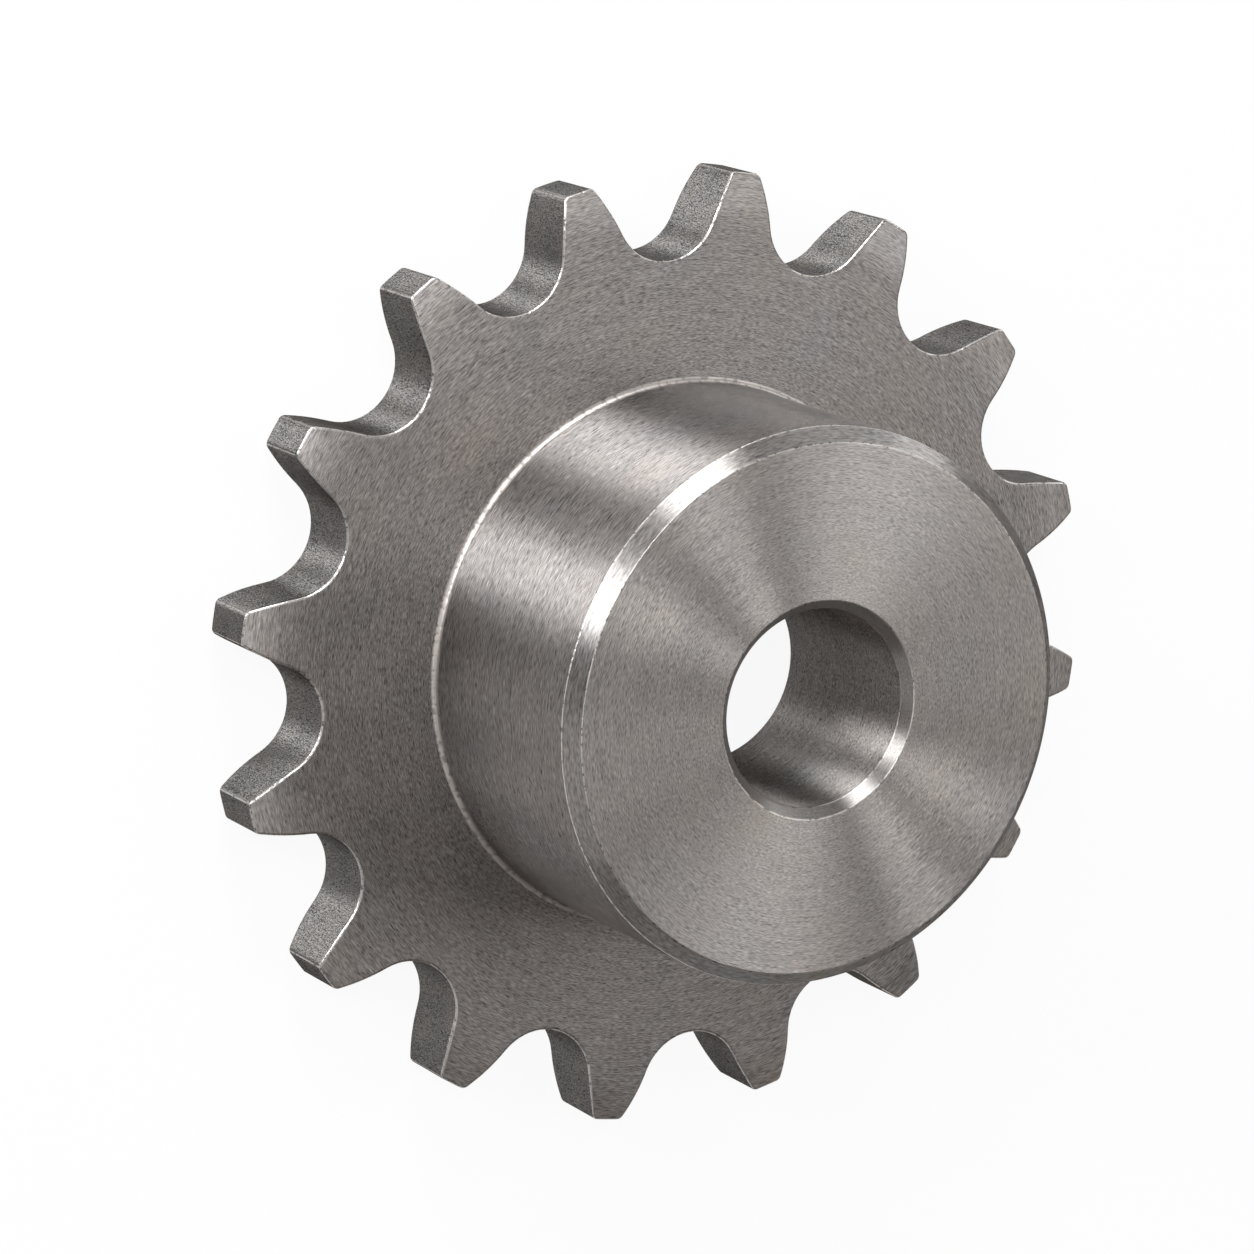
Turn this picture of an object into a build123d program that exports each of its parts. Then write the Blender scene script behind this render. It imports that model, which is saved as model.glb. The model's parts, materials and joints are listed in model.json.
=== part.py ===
from build123d import *
from math import acos, atan2, cos, degrees, hypot, pi, radians, sin
import os

# A chain sprocket with a hub on one side, cut from one piece of steel.
# Millimetres and degrees. The origin is the centre of the plate's back face,
# and +Z runs along the bore towards the hub's face. One tooth points along +X.

# Chain that the teeth take
chain_pitch = 12.7
roller_diameter = 7.77
tooth_count = 16

# Tooth ring
plate_width = 5.8
tooth_height = 2.2
seat_clearance = 0.115
seat_angle = 128.0
flank_radius = 26.0
tip_corner_radius = 0.5
side_relief_depth = 0.5
side_relief_radius = 12.7
edge_break = 0.2

# Hub
hub_diameter = 39.4
hub_projection = 19.2
hub_chamfer = 1.0
hub_root_fillet = 0.4

# Bore, and the recess that opens it out at the back
bore_diameter = 14.0
bore_chamfer = 0.7
recess_diameter = 27.0
recess_depth = 9.5
recess_chamfer = 0.5

# Sizes that follow from those above
pitch_radius = chain_pitch / sin(pi / tooth_count) / 2
tip_radius = pitch_radius + tooth_height
seat_radius = roller_diameter / 2 + seat_clearance
half_step = 180 / tooth_count
hub_radius = hub_diameter / 2
bore_radius = bore_diameter / 2
overall_length = plate_width + hub_projection

# A tooth gap is the roller's seat, a concave arc about a point on the pitch
# circle, with a convex flank arc tangent to it on each side. The flanks run
# past the tips, out to where they meet the cut circle.
cut_margin = 1.0
cut_radius = tip_radius + cut_margin
half_seat = seat_angle / 2
flank_reach = seat_radius + flank_radius
flank_x = pitch_radius - flank_reach * cos(radians(half_seat))
flank_y = flank_reach * sin(radians(half_seat))
flank_distance = hypot(flank_x, flank_y)
cosine_at_cut = (cut_radius**2 - flank_distance**2 - flank_radius**2) / (2 * flank_distance * flank_radius)
flank_end = degrees(atan2(flank_y, flank_x) - acos(cosine_at_cut))
flank_sweep = flank_end + half_seat

with BuildSketch() as tooth_gap:
    with BuildLine():
        seat = CenterArc((pitch_radius, 0), seat_radius, 180 - half_seat, seat_angle)
        upper_flank = CenterArc((flank_x, flank_y), flank_radius, -half_seat, flank_sweep)
        lower_flank = CenterArc((flank_x, -flank_y), flank_radius, half_seat, -flank_sweep)
        ThreePointArc(upper_flank @ 1, (cut_radius, 0), lower_flank @ 1)
    make_face()

# The profile of the teeth: the tip circle less the gaps, with its tip corners rounded
with BuildSketch() as tooth_profile:
    Circle(tip_radius)
    with PolarLocations(0, tooth_count, start_angle=half_step):
        add(tooth_gap.sketch, mode=Mode.SUBTRACT)
    tip_corners = tooth_profile.vertices().group_by(SortBy.DISTANCE)[-1]
    fillet(tip_corners, tip_corner_radius)

# The section of the ring: both sides curve in towards the tips, so that the
# chain's plates slide over the teeth
relief_rise = side_relief_radius - side_relief_depth
relief_start = tip_radius - (side_relief_radius**2 - relief_rise**2) ** 0.5
front_relief_start = (relief_start, plate_width)
front_relief_end = (tip_radius, plate_width - side_relief_depth)
back_relief_start = (relief_start, 0)
back_relief_end = (tip_radius, side_relief_depth)

with BuildSketch(Plane.XZ) as ring_section:
    with BuildLine():
        TangentArc(front_relief_start, front_relief_end, tangent=(1, 0))
        Line(front_relief_end, back_relief_end)
        TangentArc(back_relief_start, back_relief_end, tangent=(1, 0))
        Polyline(back_relief_start, (0, 0), (0, plate_width), front_relief_start)
    make_face()

with BuildPart() as sprocket:
    # Toothed ring: the turned disc, cut to the profile of the teeth
    revolve(ring_section.sketch, axis=Axis.Z)
    extrude(tooth_profile.sketch, amount=plate_width, mode=Mode.INTERSECT)

    # The teeth's sharp edges are broken along both sides of the ring
    walls = sprocket.faces().filter_by(GeomType.CYLINDER)
    chamfer(walls.edges().filter_by(Axis.Z, reverse=True), edge_break)

    # Hub, with a small radius where it meets the ring
    with BuildSketch(Plane.XY.offset(plate_width)):
        Circle(hub_radius)
    extrude(amount=hub_projection)
    hub_circles = sprocket.edges().filter_by(GeomType.CIRCLE).filter_by(
        lambda edge: abs(edge.radius - hub_radius) < edge_break / 2
    )
    fillet(hub_circles.sort_by(Axis.Z)[0], hub_root_fillet)
    chamfer(sprocket.faces().sort_by(Axis.Z)[-1].edges(), hub_chamfer)

    # Bore, opened out from the back
    with Locations(Plane.XY.rotated((180, 0, 0))):
        CounterBoreHole(bore_radius, recess_diameter / 2, recess_depth)
    hub_face = sprocket.faces().sort_by(Axis.Z)[-1]
    chamfer(hub_face.inner_wires().edges(), bore_chamfer)
    back_face = sprocket.faces().sort_by(Axis.Z)[0]
    chamfer(back_face.inner_wires().edges(), recess_chamfer)

sprocket.part.label = "sprocket"

print(f"tip diameter {2 * tip_radius:.2f} mm, root diameter {2 * (pitch_radius - seat_radius):.2f} mm")
print(f"overall length {overall_length:.2f} mm, volume {sprocket.part.volume / 1000:.2f} cm3")

os.makedirs("parts", exist_ok=True)
export_step(sprocket.part, "parts/sprocket.step")
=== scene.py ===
# %% [markdown]
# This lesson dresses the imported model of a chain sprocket: a toothed ring with a
# round hub on one side, cut from one piece of steel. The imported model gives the
# size and the place of everything. Blender gives the same form in a finer mesh,
# with broken edges and a finish for each way in which the steel was cut.

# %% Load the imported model
import json
import math
import bpy
from mathutils import Matrix, Vector


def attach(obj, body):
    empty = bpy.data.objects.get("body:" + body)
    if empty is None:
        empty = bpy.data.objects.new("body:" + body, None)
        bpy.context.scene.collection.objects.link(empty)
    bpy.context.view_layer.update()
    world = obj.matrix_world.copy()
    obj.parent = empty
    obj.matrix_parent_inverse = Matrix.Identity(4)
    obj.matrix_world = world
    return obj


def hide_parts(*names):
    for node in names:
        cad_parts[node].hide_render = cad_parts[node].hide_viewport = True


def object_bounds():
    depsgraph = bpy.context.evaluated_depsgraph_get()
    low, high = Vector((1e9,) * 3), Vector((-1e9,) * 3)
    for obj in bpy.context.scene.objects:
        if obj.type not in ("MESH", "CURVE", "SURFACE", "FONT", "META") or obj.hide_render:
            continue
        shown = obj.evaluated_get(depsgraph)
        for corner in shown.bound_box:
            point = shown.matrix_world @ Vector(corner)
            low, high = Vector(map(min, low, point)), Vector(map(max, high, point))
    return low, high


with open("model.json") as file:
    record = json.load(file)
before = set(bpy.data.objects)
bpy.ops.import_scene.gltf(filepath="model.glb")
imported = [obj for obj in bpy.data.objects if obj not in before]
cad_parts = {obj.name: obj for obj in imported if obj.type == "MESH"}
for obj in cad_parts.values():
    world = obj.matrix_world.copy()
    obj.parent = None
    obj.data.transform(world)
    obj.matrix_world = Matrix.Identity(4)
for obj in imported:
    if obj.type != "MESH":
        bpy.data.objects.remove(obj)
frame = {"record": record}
cad_low, cad_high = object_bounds()
print("CAD box in mm:", [round(1000 * v, 2) for v in (*cad_low, *cad_high)])

# %% [markdown]
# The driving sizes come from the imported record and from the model's box, so the
# mesh can't drift away from the solid that it stands for. The sizes that neither
# of them states, such as the chamfers, are named here, in metres.

# %% Sizes of the sprocket
mounts = {mount["name"]: mount for mount in frame["record"]["mounts"]}
MM = 0.001
tooth_count = mounts["teeth"]["dims"]["count"]
pitch_radius = mounts["teeth"]["dims"]["pcd_mm"] / 2 * MM
seat_radius = mounts["teeth"]["dims"]["r_mm"] * MM
ring_width = mounts["teeth"]["dims"]["length_mm"] * MM
bore_radius = mounts["bore"]["dims"]["r_mm"] * MM
tip_radius = cad_high.x
full_length = cad_high.z

half_seat = math.radians(64)
flank_radius = 26 * MM
tip_corner = 0.5 * MM
relief_depth = 0.5 * MM
relief_radius = 12.7 * MM
edge_break = 0.2 * MM
hub_radius = 19.7 * MM
hub_chamfer = 1.0 * MM
hub_root = 0.4 * MM
bore_chamfer = 0.7 * MM
recess_radius = 13.5 * MM
recess_depth = 9.5 * MM
recess_chamfer = 0.5 * MM
half_pitch = math.pi / tooth_count
print(tooth_count, "teeth, tip radius", round(tip_radius / MM, 2), "mm")

# %% [markdown]
# The camera comes early, so that every later step can be looked at from where
# the photograph was taken. The sprocket lies on its back here, and the camera
# looks down on it, turned about its own axis until the hub points the same way
# in the frame. A long lens keeps the near and far teeth almost the same size.

# %% Camera at the photograph's viewing angle
camera_place = Vector((0.18575, 0.1022, 0.33544))
camera_target = Vector((0.0082, 0.00411, 0.0125))
camera_up = Vector((0.7258, -0.6585, -0.199))

camera_data = bpy.data.cameras.new("camera")
camera_data.lens = 157
camera_data.sensor_width = 36
camera = bpy.data.objects.new("camera", camera_data)
forward = (camera_target - camera_place).normalized()
right = forward.cross(camera_up).normalized()
up = right.cross(forward)
turn = Matrix((right, up, -forward)).transposed()
camera.matrix_world = Matrix.Translation(camera_place) @ turn.to_4x4()
bpy.context.collection.objects.link(camera)
bpy.context.scene.camera = camera
bpy.context.scene.view_settings.view_transform = "Standard"
print("camera looks down at", round(math.degrees(math.asin(-forward.z)), 1), "degrees")

# %% [markdown]
# Shader maths reads best as plain sums. This small class wraps a socket, so that
# 1 - mask or height * 0.5 adds the Math nodes by itself. Every other node comes
# from one method, which takes the node's type, its settings and its inputs.

# %% A wire that can be used in a sum
class Wire:
    """A socket of a node tree, or the tree alone while socket is None."""

    def __init__(self, tree, socket=None):
        self.tree = tree
        self.socket = socket

    def node(self, kind, settings=None, inputs=None, output=0):
        """Add a node and give back its output, or a list of outputs for a tuple of names."""
        made = self.tree.nodes.new(kind)
        for name, value in (settings or {}).items():
            setattr(made, name, value)
        for key, value in (inputs or {}).items():
            if isinstance(value, Wire):
                self.tree.links.new(value.socket, made.inputs[key])
            else:
                made.inputs[key].default_value = value
        if isinstance(output, tuple):
            return [Wire(self.tree, made.outputs[name]) for name in output]
        return Wire(self.tree, made.outputs[output])

    def maths(self, operation, *values):
        return self.node("ShaderNodeMath", {"operation": operation}, dict(enumerate(values)))

    def __add__(self, other):
        return self.maths("ADD", self, other)

    __radd__ = __add__

    def __sub__(self, other):
        return self.maths("SUBTRACT", self, other)

    def __rsub__(self, other):
        return self.maths("SUBTRACT", other, self)

    def __mul__(self, other):
        return self.maths("MULTIPLY", self, other)

    __rmul__ = __mul__

    def __truediv__(self, other):
        return self.maths("DIVIDE", self, other)

    def __rtruediv__(self, other):
        return self.maths("DIVIDE", other, self)


sums = [name for name in ("add", "sub", "mul", "truediv") if hasattr(Wire, f"__r{name}__")]
print("sums that a wire takes part in, on either side:", sums)

# %% [markdown]
# One tooth follows a rule. The roller's seat is a concave arc about a point on
# the pitch circle. A convex flank arc carries on from each end of it, tangent to
# the seat, and a small arc rounds the corner between the flank and the tip. Half
# of a tooth is worked out as a list of points, and the other half mirrors it.

# %% Profile of one tooth
def on_circle(centre, radius, angle):
    return Vector((centre[0] + radius * math.cos(angle), centre[1] + radius * math.sin(angle)))


def arc_points(centre, radius, start, end, steps):
    """Points from start to end, without the last one."""
    return [on_circle(centre, radius, start + (end - start) * k / steps) for k in range(steps)]


tip_steps = 3
corner_steps = 5
flank_steps = 8
seat_steps = 10


def half_tooth():
    """From the middle of the tip, on +X, round to the bottom of the gap."""
    turned = Matrix.Rotation(half_pitch, 2)
    between_centres = seat_radius + flank_radius
    seat_centre = turned @ Vector((pitch_radius, 0))
    flank_x = pitch_radius - between_centres * math.cos(half_seat)
    flank_y = -between_centres * math.sin(half_seat)
    flank_centre = turned @ Vector((flank_x, flank_y))
    # The corner's centre lies at a known distance from the axis and from the flank's centre
    inner_tip = tip_radius - tip_corner
    inner_flank = flank_radius - tip_corner
    apart = flank_centre.length
    along = (inner_tip**2 + apart**2 - inner_flank**2) / (2 * inner_tip * apart)
    flank_angle = math.atan2(flank_centre.y, flank_centre.x)
    corner_angle = flank_angle + math.acos(along)
    corner_centre = on_circle((0, 0), inner_tip, corner_angle)
    to_flank = corner_centre - flank_centre
    flank_start = math.atan2(to_flank.y, to_flank.x)
    to_seat = seat_centre - flank_centre
    flank_end = math.atan2(to_seat.y, to_seat.x)
    seat_start = flank_end + math.pi
    seat_end = math.pi + half_pitch
    points = arc_points((0, 0), tip_radius, 0, corner_angle, tip_steps)
    points += arc_points(corner_centre, tip_corner, corner_angle, flank_start, corner_steps)
    points += arc_points(flank_centre, flank_radius, flank_start, flank_end, flank_steps)
    points += arc_points(seat_centre, seat_radius, seat_start, seat_end, seat_steps)
    points.append(on_circle(seat_centre, seat_radius, seat_end))
    return points


half_points = half_tooth()
mirrored = [Vector((p.x, -p.y)) for p in reversed(half_points[1:])]
tooth_points = mirrored + half_points
root_radius = half_points[-1].length
print("one tooth has", len(tooth_points), "points, its root at", round(root_radius / MM, 2), "mm")

# %% [markdown]
# The rest of the sprocket is turned, so it is a section in radius and height.
# No machined corner is perfectly sharp, and the thin bright lines in the
# photograph are where such corners catch the light. So each corner of the
# section gets a small radius, with a point held close on each side of it to keep
# the flat faces flat under smooth shading. An inside corner keeps the radius of the
# tool's nose instead, and the one at the hub's foot has a finish of its own,
# because the photograph shows it as a light line.

# %% Section of the turned faces
def rounded(before, corner, after, radius, steps, hold=0.06 * MM):
    """The points of a corner of that radius, each with a point held beside it."""
    corner = Vector(corner)
    back = (Vector(before) - corner).normalized()
    onward = (Vector(after) - corner).normalized()
    half = math.acos(max(-1, min(1, back.dot(onward)))) / 2
    setback = radius / math.tan(half)
    centre = corner + (back + onward).normalized() * (radius / math.sin(half))
    first = corner + back * setback
    last = corner + onward * setback
    start = math.atan2(*(first - centre).yx)
    sweep = math.atan2(*(last - centre).yx) - start
    sweep = (sweep + math.pi) % (2 * math.pi) - math.pi
    arc = [on_circle(centre, radius, start + sweep * k / steps) for k in range(steps + 1)]
    return [first + back * hold, *arc, last + onward * hold]


bore_back = (bore_radius, recess_depth)
bore_front = (bore_radius, full_length - bore_chamfer)
face_inner = (bore_radius + bore_chamfer, full_length)
face_outer = (hub_radius - hub_chamfer, full_length)
hub_front = (hub_radius, full_length - hub_chamfer)
hub_foot = (hub_radius, ring_width)
ring_start = (hub_radius + 4 * hub_root, ring_width)
back_start = (recess_radius + 4 * recess_chamfer, 0)
mouth_outer = (recess_radius + recess_chamfer, 0)
mouth_inner = (recess_radius, recess_chamfer)
recess_floor = (recess_radius, recess_depth)

crisp = 0.15 * MM
tool_nose = 0.4 * MM
# Each corner: the finish of its rounding and of the face after it, its place, radius and steps
corners = [
    ("edge", "recess", mouth_outer, crisp, 3),
    ("edge", "recess", mouth_inner, crisp, 3),
    ("recess", "recess", recess_floor, tool_nose, 4),
    ("edge", "bore", bore_back, crisp, 3),
    ("edge", "bore_chamfer", bore_front, crisp, 3),
    ("edge", "hub_face", face_inner, crisp, 3),
    ("edge", "hub_chamfer", face_outer, crisp, 3),
    ("edge", "hub_wall", hub_front, crisp, 3),
    ("root", "ring_side", hub_foot, hub_root, 6),
]
section = []
section_zones = []
zone_before = "back_side"
stops = [back_start, *[corner[2] for corner in corners], ring_start]
for index, (rounding, zone_after, place, radius, steps) in enumerate(corners):
    section += rounded(stops[index], place, stops[index + 2], radius, steps)
    section_zones += [zone_before, *[rounding] * steps, zone_after, zone_after]
    zone_before = zone_after
print("the turned section has", len(section), "points")

# %% [markdown]
# Every ring of the mesh has the same number of points round the axis, so turned
# faces and teeth join with no seam. Each profile point carries one line of points:
# along the turned section, out over the ring's side, over the broken edge, down
# the tooth's wall and back in along the other side, where the line closes. The
# sides curve in towards the tips, as the chain's plates need.

# %% Line of points through one profile point
def relief(radius):
    """How far a side of the ring lies under its flat middle at that radius."""
    start = tip_radius - math.sqrt(relief_radius**2 - (relief_radius - relief_depth) ** 2)
    beyond = max(0.0, radius - start)
    return relief_radius - math.sqrt(relief_radius**2 - beyond**2)


# Where the points lie on the way out to the teeth, closer together where the side curves
front_shares = (0.02, 0.3, 0.55, 0.7, 0.78, 0.85, 0.91, 0.96, 0.99)
back_shares = (0.99, 0.95, 0.88, 0.8, 0.7, 0.3, 0.02)
edge_steps = 4
# Only the middle of the rounding between two faces is worn bright, partly as painted highlight
edge_zones = ("ring_side", "edge", "edge", "wall", "wall")
back_edge_zones = ("wall", "edge", "edge", "back_side", "back_side")
wall_hold = 0.1 * MM


def outward(previous, following):
    """The direction out of the metal, square to the profile."""
    along = (following - previous).normalized()
    return Vector((along.y, -along.x))


def line_of_points(point, normal):
    """(zone, place) of each point of the closed line through a profile point."""
    ray = point.normalized()
    edge_point = point - normal * edge_break
    line = []
    for index, (radius, height) in enumerate(section):
        line.append((section_zones[index], Vector((*(ray * radius), height))))
    for share in front_shares:
        place = (ray * ring_start[0]).lerp(edge_point, share)
        line.append(("ring_side", Vector((*place, ring_width - relief(place.length)))))
    low = relief(edge_point.length)
    for k in range(edge_steps + 1):
        angle = math.pi / 2 * k / edge_steps
        place = edge_point + normal * edge_break * math.sin(angle)
        drop = low + edge_break * (1 - math.cos(angle))
        line.append((edge_zones[k], Vector((*place, ring_width - drop))))
    line.append(("wall", Vector((*point, ring_width - low - edge_break - wall_hold))))
    line.append(("wall", Vector((*point, low + edge_break + wall_hold))))
    for k in range(edge_steps + 1):
        angle = math.pi / 2 * (1 - k / edge_steps)
        place = edge_point + normal * edge_break * math.sin(angle)
        rise = low + edge_break * (1 - math.cos(angle))
        line.append((back_edge_zones[k], Vector((*place, rise))))
    for share in back_shares:
        place = (ray * back_start[0]).lerp(edge_point, share)
        line.append(("back_side", Vector((*place, relief(place.length)))))
    return line


print("a line has", len(line_of_points(tooth_points[0], Vector((1, 0)))), "points")

# %% [markdown]
# The lines through all the points of one tooth, side by side, make one sector of
# the sprocket: a tooth with its share of the ring, hub and bore. Each face of it
# gets a number for its zone, which says how the real face was cut or worn. The
# number is an attribute of the face, so it stays with every copy of the tooth.

# %% One tooth as a mesh
zones = ["ring_side", "edge", "wall", "back_side", "recess", "bore", "bore_chamfer"]
zones += ["hub_face", "hub_chamfer", "hub_wall", "root"]


def tooth_sector():
    """The mesh of one tooth with its share of the ring, hub and bore."""
    turned = Matrix.Rotation(2 * half_pitch, 2)
    around = [turned.inverted() @ tooth_points[-2], *tooth_points, turned @ tooth_points[1]]
    lines = []
    for k in range(1, len(around) - 1):
        lines.append(line_of_points(around[k], outward(around[k - 1], around[k + 1])))
    length = len(lines[0])
    places = [place for line in lines for zone, place in line]
    middle = len(half_points) - 1
    faces = []
    face_zones = []
    for j in range(len(lines) - 1):
        # Whole steps from the middle of the tip to this strip
        from_middle = int(abs(j + 0.5 - middle))
        on_corner = from_middle == tip_steps + corner_steps // 2
        for i in range(length):
            after = (i + 1) % length
            near = j * length
            far = near + length
            faces.append((near + i, near + after, far + after, far + i))
            zone = lines[j][i][0]
            # The line beside each tip is worn bright too, partly as painted highlight
            if on_corner and zone == "wall":
                zone = "edge"
            face_zones.append(zones.index(zone))
    mesh = bpy.data.meshes.new("tooth_sector")
    mesh.from_pydata(places, [], faces)
    mesh.attributes.new("zone", "INT", "FACE").data.foreach_set("value", face_zones)
    return mesh


sector_mesh = tooth_sector()
print("one sector has", len(sector_mesh.polygons), "faces")

# %% [markdown]
# A sprocket is one tooth repeated, so Geometry Nodes repeat the sector. The tree
# takes the number of teeth as an input, puts a copy at each step round the axis,
# joins the copies where they meet and gives each zone its finish. The finishes
# are made in the next steps, so the tree has one named input for each of them.

# %% Node tree that repeats the tooth round the axis
def repeat_tree():
    """Copies of the sector round the axis, joined, with a finish for each zone."""
    tree = bpy.data.node_groups.new("teeth_round_axis", "GeometryNodeTree")
    sockets = tree.interface
    sockets.new_socket("Geometry", in_out="INPUT", socket_type="NodeSocketGeometry")
    sockets.new_socket("Teeth", in_out="INPUT", socket_type="NodeSocketInt")
    sockets.new_socket("Join distance", in_out="INPUT", socket_type="NodeSocketFloat")
    for zone in zones:
        sockets.new_socket(zone, in_out="INPUT", socket_type="NodeSocketMaterial")
    sockets.new_socket("Geometry", in_out="OUTPUT", socket_type="NodeSocketGeometry")

    start = tree.nodes.new("NodeGroupInput")
    given = {socket.name: Wire(tree, socket) for socket in start.outputs}
    blank = Wire(tree)
    step = 2 * math.pi / given["Teeth"]
    index = blank.node("GeometryNodeInputIndex")
    turned = blank.node("ShaderNodeCombineXYZ", inputs={"Z": index * step})
    points = blank.node("GeometryNodePoints", inputs={"Count": given["Teeth"]})
    copies = blank.node(
        "GeometryNodeInstanceOnPoints",
        inputs={"Points": points, "Instance": given["Geometry"], "Rotation": turned},
    )
    shape = blank.node("GeometryNodeRealizeInstances", inputs={"Geometry": copies})
    shape = blank.node(
        "GeometryNodeMergeByDistance",
        inputs={"Geometry": shape, "Distance": given["Join distance"]},
    )
    zone_number = blank.node(
        "GeometryNodeInputNamedAttribute", {"data_type": "INT"}, {"Name": "zone"}
    )
    for number, zone in enumerate(zones):
        chosen = zone_number.maths("COMPARE", zone_number, number, 0.1)
        shape = blank.node(
            "GeometryNodeSetMaterial",
            inputs={"Geometry": shape, "Selection": chosen, "Material": given[zone]},
        )
    end = tree.nodes.new("NodeGroupOutput")
    tree.links.new(shape.socket, end.inputs["Geometry"])
    return tree


teeth_tree = repeat_tree()
print("the tree has", len(teeth_tree.nodes), "nodes")

# %% [markdown]
# Everything is one steel, but each cut leaves its own finish. All the turned
# faces carry fine grooves round the axis, so one helper makes them: it works out
# how far a point lies across the grooves and which way it faces round the axis.
# Noise in those two directions, squeezed across and stretched along, gives short
# strokes that close round the axis with no seam. An edge shade near 0 darkens the
# steel where it is seen at a flat angle, which keeps the hub's far side as dark as
# the photograph has it.

# %% Helpers for the finishes
def new_finish(name, tone, roughness, stretch=0.0, edge_shade=1.0):
    """A metal with its constant values set, its tree and its shader."""
    material = bpy.data.materials.new(name)
    material.use_nodes = True
    shader = material.node_tree.nodes["Principled BSDF"]
    shader.inputs["Metallic"].default_value = 1
    shader.inputs["Base Color"].default_value = (*tone, 1)
    shader.inputs["Roughness"].default_value = roughness
    shader.inputs["Anisotropic"].default_value = stretch
    shader.inputs["Anisotropic Rotation"].default_value = 0.25
    shader.inputs["Specular Tint"].default_value = (edge_shade, edge_shade, edge_shade, 1)
    return material, Wire(material.node_tree), shader


def noise(blank, vector, size, detail=0.0):
    """Noise about zero, from about -0.5 to 0.5, its spots of that size in metres."""
    inputs = {"Vector": vector, "Scale": 1 / size, "Detail": detail}
    return blank.node("ShaderNodeTexNoise", {"noise_dimensions": "3D"}, inputs) - 0.5


# The radius at which a stroke has the length that is asked for
stroke_radius = 20 * MM
height_share = 1.7


def strokes(blank, stroke_width, stroke_length):
    """Noise in short strokes round the axis, their sizes in metres."""
    place = blank.node("ShaderNodeTexCoord", output="Object")
    x, y, z = blank.node("ShaderNodeSeparateXYZ", inputs={0: place}, output=("X", "Y", "Z"))
    radius = blank.maths("SQRT", x * x + y * y)
    # Unequal shares of radius and height, so that it changes across every turned face
    across = (radius + z * height_share) / stroke_width
    along = stroke_radius / stroke_length / radius
    inputs = {"X": across, "Y": x * along, "Z": y * along}
    vector = blank.node("ShaderNodeCombineXYZ", inputs=inputs)
    return noise(blank, vector, 1.0)


def connect(shader, tone, grey, warmth, roughness, height, depth):
    """Link a finish: grey scales the tone, and height with its depth in metres makes the bump."""
    blank = Wire(shader.id_data)
    warm_tone = (tone[0] * 1.05, tone[1] * 0.99, tone[2] * 0.93, 1)
    inputs = {"Factor": warmth, "A": (*tone, 1), "B": warm_tone}
    colour = blank.node("ShaderNodeMix", {"data_type": "RGBA"}, inputs, output=2)
    colour = blank.node("ShaderNodeVectorMath", {"operation": "SCALE"}, {0: colour, "Scale": grey})
    normal = blank.node("ShaderNodeBump", inputs={"Height": height, "Distance": depth})
    blank.tree.links.new(colour.socket, shader.inputs["Base Color"])
    blank.tree.links.new(roughness.socket, shader.inputs["Roughness"])
    blank.tree.links.new(normal.socket, shader.inputs["Normal"])


print("a stroke has its stated length", round(stroke_radius / MM, 1), "mm from the axis")

# %% [markdown]
# The faces that a lathe cut show its grooves twice. Close by they are fine strokes
# of lighter and darker steel, which colour, roughness and bump all follow. From
# further away the grooves can't be told apart, but they spread a reflection across
# themselves, and that makes the bright fans on the hub's face and the bands down
# its wall. Anisotropic, turned by a quarter, does this without any real grooves.
# The ring's sides are duller, so they spread it less and show more grain. They are
# a little brighter at the teeth, which is painted sheen.

# %% Turned finishes
groove = 0.045 * MM
wide_groove = 0.07 * MM
speckle_size = 0.09 * MM
cloud_size = 7 * MM
# Where the painted sheen near the teeth starts and where it is full, by radius
sheen_from = 30.5 * MM
sheen_to = 34.5 * MM


def turned_finish(
    name, tone, roughness, stretch, streak, grain, depth, length, tip_light=0.0, edge_shade=0.0
):
    """Steel with grooves round the axis, the depth in metres and the length in millimetres.

    Stretch draws the light out across the grooves. Streak and grain are how strongly the
    strokes and the speckle change the grey, and tip_light how much painted sheen brightens the
    teeth.
    """
    material, blank, shader = new_finish(name, tone, roughness, stretch, edge_shade)
    place = blank.node("ShaderNodeTexCoord", output="Object")
    fine = strokes(blank, groove, length * MM)
    broad = strokes(blank, wide_groove, 6 * length * MM)
    speckle = noise(blank, place, speckle_size)
    cloud = noise(blank, place, cloud_size, 1.0)
    grey = 1 + fine * streak + broad * (streak * 0.35) + speckle * grain + cloud * 0.22
    # Painted sheen, rising towards the teeth
    if tip_light:
        x, y, z = blank.node("ShaderNodeSeparateXYZ", inputs={0: place}, output=("X", "Y", "Z"))
        radius = blank.maths("SQRT", x * x + y * y)
        inputs = {0: radius, 1: sheen_from, 2: sheen_to, 3: 0.0, 4: tip_light}
        grey = grey + blank.node("ShaderNodeMapRange", {"interpolation_type": "SMOOTHSTEP"}, inputs)
    rough = roughness + cloud * 0.1 + fine * (0.08 * streak)
    height = fine * 0.8 + broad * 0.2 + speckle * (0.4 * grain)
    connect(shader, tone, grey, 0.4 + cloud * 1.5, rough, height, depth)
    return material


steel_tone = (0.470, 0.450, 0.440)
ring_tone = (0.334, 0.320, 0.314)
# The hub's wall is turned a little darker than the face, and its tone is lowered further as painted
# shade on the side wall
hub_wall_shaded_tone = (0.282, 0.270, 0.265)
chamfer_tone = (0.325, 0.317, 0.313)
mouth_tone = (0.320, 0.311, 0.306)
bore_tone = (0.320, 0.308, 0.301)

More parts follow.
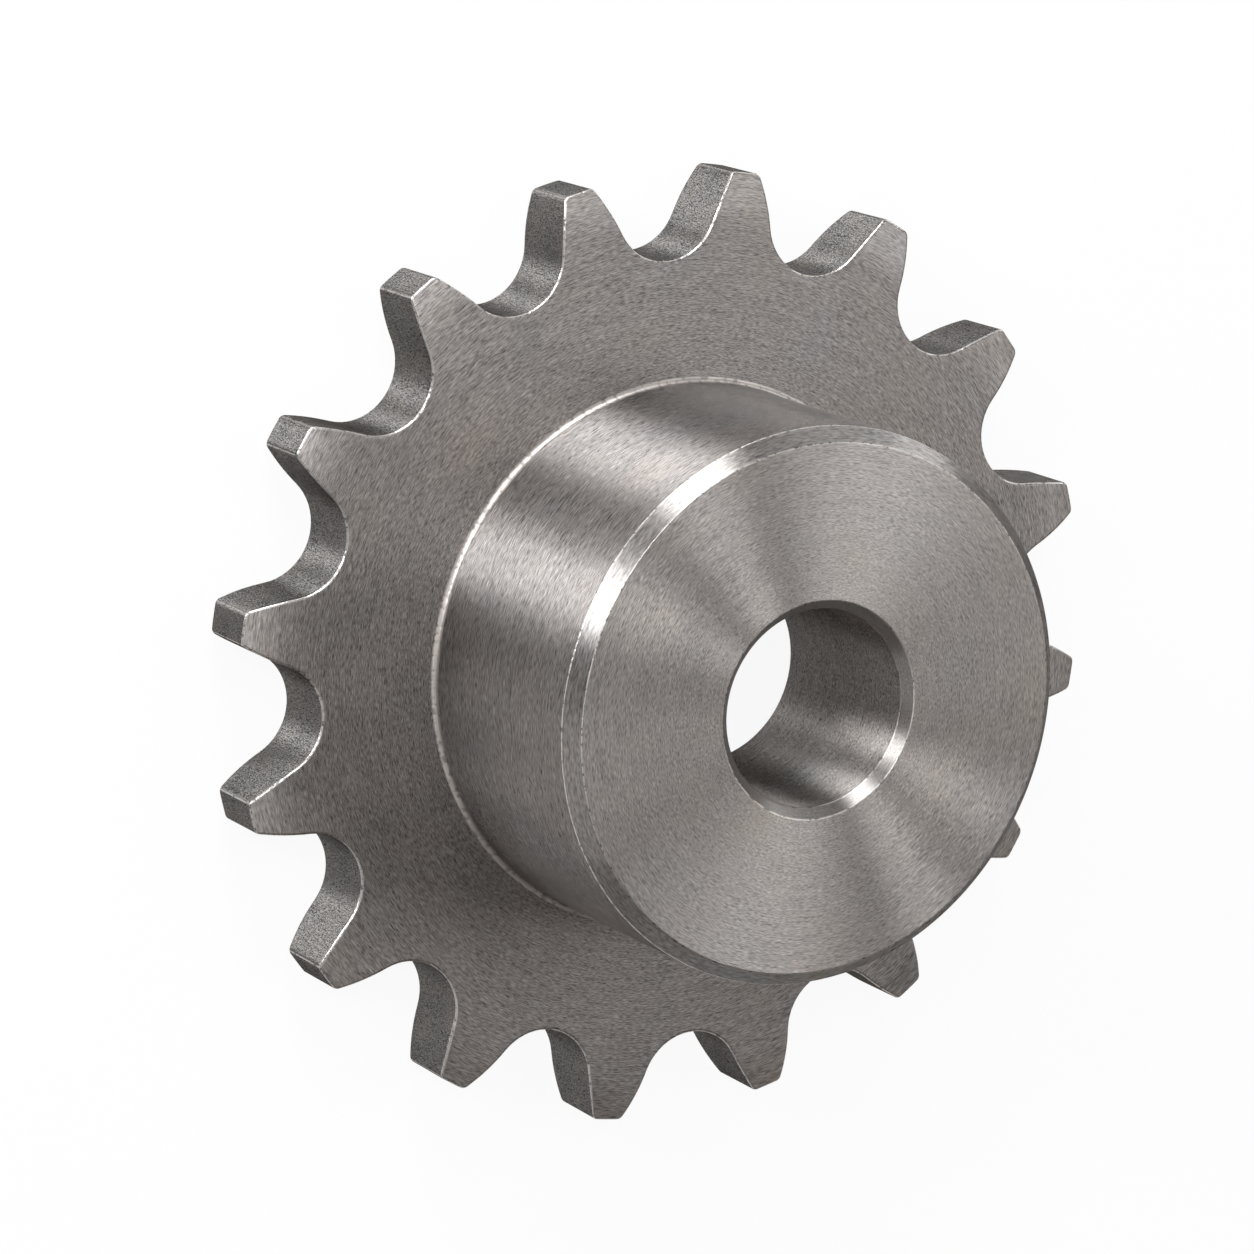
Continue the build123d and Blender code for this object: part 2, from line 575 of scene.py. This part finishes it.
finishes = {}
finishes["ring_side"] = turned_finish(
    "ring_side", ring_tone, 0.46, 0.4, 1.7, 0.4, 0.007 * MM, 0.3, tip_light=0.28
)
finishes["back_side"] = finishes["ring_side"]
finishes["hub_face"] = turned_finish(
    "hub_face", steel_tone, 0.39, 0.95, 1.35, 0.0, 0.004 * MM, 0.45
)
finishes["hub_wall"] = turned_finish("hub_wall", hub_wall_shaded_tone, 0.43, 1.0, 2.6, 0.0, 0.004 * MM, 0.5)
finishes["bore"] = turned_finish("bore", bore_tone, 0.56, 1.0, 3.0, 0.1, 0.004 * MM, 0.5)
finishes["recess"] = finishes["bore"]
finishes["hub_chamfer"] = turned_finish(
    "hub_chamfer", chamfer_tone, 0.36, 0.9, 1.2, 0.2, 0.0015 * MM, 0.5, edge_shade=0.08
)
finishes["bore_chamfer"] = turned_finish(
    "bore_chamfer", mouth_tone, 0.40, 0.9, 1.2, 0.2, 0.0015 * MM, 0.5, edge_shade=0.15
)
print("turned finishes, by zone:", {zone: made.name for zone, made in finishes.items()})

# %% [markdown]
# Where a chain or a hand rubs, the steel is polished. That makes the thin bright
# lines along the sharp edges, broken here and there by a nick, and their brighter
# tone is partly painted highlight. The walls of the teeth were milled and then left
# as they were, with short marks drawn out along the axis, and their darkest tone is
# painted shade between the teeth. An edge could be made bright by its angle alone,
# but then every edge would shine evenly from end to end, so the edges have a zone of
# their own and a finish with nicks in it.

# %% Worn edges with painted highlight, and tooth walls with painted shade
# Brighter steel for the worn edges, partly painted highlight
worn_and_highlight_tone = (0.500, 0.487, 0.479)
# Dark steel for the tooth walls: painted shade between the teeth
tooth_wall_shade_tone = (0.185, 0.179, 0.176)


def edge_finish(name, tone, roughness, bump_depth, nick_size, nick_level, nick_grey):
    """Polished steel with nicks, where the noise is under nick_level, its tone partly painted
    highlight. Sizes in metres.
    """
    material, blank, shader = new_finish(name, tone, roughness, edge_shade=0.3)
    place = blank.node("ShaderNodeTexCoord", output="Object")
    nick = noise(blank, place, nick_size, 2.0)
    inputs = {0: nick, 1: nick_level, 2: nick_level - 0.1, 3: 1.0, 4: nick_grey}
    worn = blank.node("ShaderNodeMapRange", inputs=inputs)
    cloud = noise(blank, place, 3 * MM, 1.0)
    grey = worn * (1.1 + cloud * 0.6)
    connect(shader, tone, grey, 0.5 + cloud, roughness + 0.1 - worn * 0.1, nick, bump_depth)
    return material


def wall_finish():
    """Milled steel, with marks drawn out along the axis, in a dark tone that is painted shade
    between the teeth.
    """
    material, blank, shader = new_finish("tooth_wall", tooth_wall_shade_tone, 0.46, 0.92, edge_shade=0.0)
    place = blank.node("ShaderNodeTexCoord", output="Object")
    drawn = blank.node("ShaderNodeMapping", inputs={"Vector": place, "Scale": (1, 1, 0.4)})
    marks = noise(blank, drawn, 0.08 * MM, 1.0)
    cloud = noise(blank, place, 2.5 * MM, 1.0)
    grey = 1 + marks * 3.0 + cloud * 0.4
    connect(shader, tooth_wall_shade_tone, grey, 0.3 + cloud, 0.46 + marks * 0.3, marks, 0.02 * MM)
    return material


finishes["edge"] = edge_finish("worn_and_highlight_edge", worn_and_highlight_tone, 0.3, 0.04 * MM, 0.3 * MM, -0.04, 0.35)
# The hub's foot takes this finish too, its brighter grey partly painted highlight on its light line
finishes["root"] = edge_finish("hub_root", steel_tone, 0.42, 0.03 * MM, 0.45 * MM, -0.02, 0.6)
finishes["wall"] = wall_finish()
print("zones with a finish:", len(finishes), "of", len(zones))

# %% [markdown]
# A carrier object holds the sector while the tree runs, and the result is kept as
# a plain mesh with no modifier, because the export drops what is only generated.
# The join distance is far smaller than any gap between points that should stay.

# %% Repeat the tooth and keep the result as a plain mesh
def repeated(mesh, tree, settings):
    """The plain mesh that the tree makes of this one, with its inputs set by name."""
    carrier = bpy.data.objects.new("carrier", mesh)
    bpy.context.collection.objects.link(carrier)
    modifier = carrier.modifiers.new("repeat", "NODES")
    modifier.node_group = tree
    for item in tree.interface.items_tree:
        if item.in_out == "INPUT" and item.name in settings:
            modifier[item.identifier] = settings[item.name]
    graph = bpy.context.evaluated_depsgraph_get()
    made = bpy.data.meshes.new_from_object(carrier.evaluated_get(graph))
    carrier.modifiers.remove(modifier)
    bpy.data.objects.remove(carrier)
    return made


sector_mesh.materials.append(finishes[zones[0]])
settings = {"Teeth": tooth_count, "Join distance": 0.001 * MM, **finishes}
body_mesh = repeated(sector_mesh, teeth_tree, settings)
body_mesh.shade_smooth()
sprocket = bpy.data.objects.new("sprocket_steel", body_mesh)
bpy.context.collection.objects.link(sprocket)
print("whole sprocket:", len(body_mesh.polygons), "faces,", len(body_mesh.vertices), "points")
print("finishes on it:", [material.name for material in body_mesh.materials])

# %% [markdown]
# The floor is a plain pale sheet. To the camera, and in the metal, most of it
# shows as even white, as the photograph's background does, and the rest takes the
# lamps' light, so that the sprocket still has its shadow.

# %% Floor
floor_half = 3.0
floor_corners = [
    (-floor_half, -floor_half, 0),
    (floor_half, -floor_half, 0),
    (floor_half, floor_half, 0),
    (-floor_half, floor_half, 0),
]
floor_mesh = bpy.data.meshes.new("floor")
floor_mesh.from_pydata(floor_corners, [], [(0, 1, 2, 3)])
floor = bpy.data.objects.new("floor", floor_mesh)
bpy.context.collection.objects.link(floor)
floor_paper = bpy.data.materials.new("floor_paper")
floor_paper.use_nodes = True
floor_mesh.materials.append(floor_paper)
blank = Wire(floor_paper.node_tree)
paper = floor_paper.node_tree.nodes["Principled BSDF"]
paper.inputs["Base Color"].default_value = (0.95, 0.95, 0.95, 1)
paper.inputs["Roughness"].default_value = 0.9
camera_ray, glossy_ray, through_ray = blank.node(
    "ShaderNodeLightPath", output=("Is Camera Ray", "Is Glossy Ray", "Is Transmission Ray")
)
even_white = 0.92
white_share = even_white * blank.maths("MINIMUM", camera_ray + glossy_ray + through_ray, 1.0)
white = blank.node("ShaderNodeEmission", inputs={"Color": (1, 1, 1, 1), "Strength": 1.0})
lit_paper = Wire(blank.tree, paper.outputs[0])
mixed = blank.node("ShaderNodeMixShader", inputs={0: white_share, 1: lit_paper, 2: white})
floor_end = floor_paper.node_tree.nodes["Material Output"]
floor_paper.node_tree.links.new(mixed.socket, floor_end.inputs["Surface"])
print("floor", 2 * floor_half, "m across,", even_white, "of it even white to the camera")

# %% [markdown]
# Bare steel shows what it mirrors, so the lamps are placed for their reflections.
# A soft box lights the part of a turned wall that faces halfway between it and the
# camera, and on the hub's face it lights the sector on that side and the one
# across from it. Two tall strips make the two bright bands on the hub's wall. The
# boxes above make the fans on its face and the light in the bore, and the low ones
# lift the dark sides of the wall and the chamfer. The world is a dim grey that fills
# the rest. All together they light a level face so that a colour renders about as
# it is written.

# %% Lamps
lamp_tone = (0.97, 0.985, 1.0)


def softbox(name, azimuth, elevation, distance, width, height, radiance):
    """A soft lamp turned to the sprocket. Angles in degrees, sizes in metres."""
    light = bpy.data.lights.new(name, "AREA")
    light.shape = "RECTANGLE"
    light.size = width
    light.size_y = height
    light.energy = radiance * math.pi * width * height
    light.color = lamp_tone
    lamp = bpy.data.objects.new(name, light)
    turn = math.radians(azimuth)
    rise = math.radians(elevation)
    away = Vector((math.cos(rise) * math.cos(turn), math.cos(rise) * math.sin(turn), math.sin(rise)))
    lamp.location = away * distance
    lamp.rotation_euler = away.to_track_quat("Z", "Y").to_euler()
    bpy.context.collection.objects.link(lamp)
    return lamp


lamps = [
    softbox("left_strip", -26, 17, 0.7, 0.27, 0.40, 10.5),
    softbox("near_strip", 23, 17, 0.7, 0.23, 0.40, 11.2),
    softbox("back_box", 241, 52, 0.8, 0.42, 0.31, 2.3),
    softbox("side_box", 330, 52, 0.8, 0.20, 0.40, 3.5),
    softbox("top_box", 92, 70, 0.8, 0.50, 0.50, 1.05),
    softbox("bore_strip", 9, 57, 0.7, 0.15, 0.22, 8.0),
    softbox("low_box", -78, 8, 0.8, 0.80, 0.20, 1.8),
    softbox("right_box", 85, 24, 0.8, 0.65, 0.34, 0.6),
    softbox("chamfer_strip", 265, 4, 0.8, 0.18, 0.10, 6.0),
]

world_tone = (0.163, 0.15, 0.139)
world = bpy.data.worlds.new("world")
bpy.context.scene.world = world
world.use_nodes = True
world.node_tree.nodes["Background"].inputs["Color"].default_value = (*world_tone, 1)
print(len(lamps), "lamps with", round(sum(lamp.data.energy for lamp in lamps), 2), "W in all")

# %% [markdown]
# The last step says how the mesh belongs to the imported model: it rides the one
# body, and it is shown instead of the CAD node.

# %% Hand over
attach(sprocket, "root")
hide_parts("sprocket")
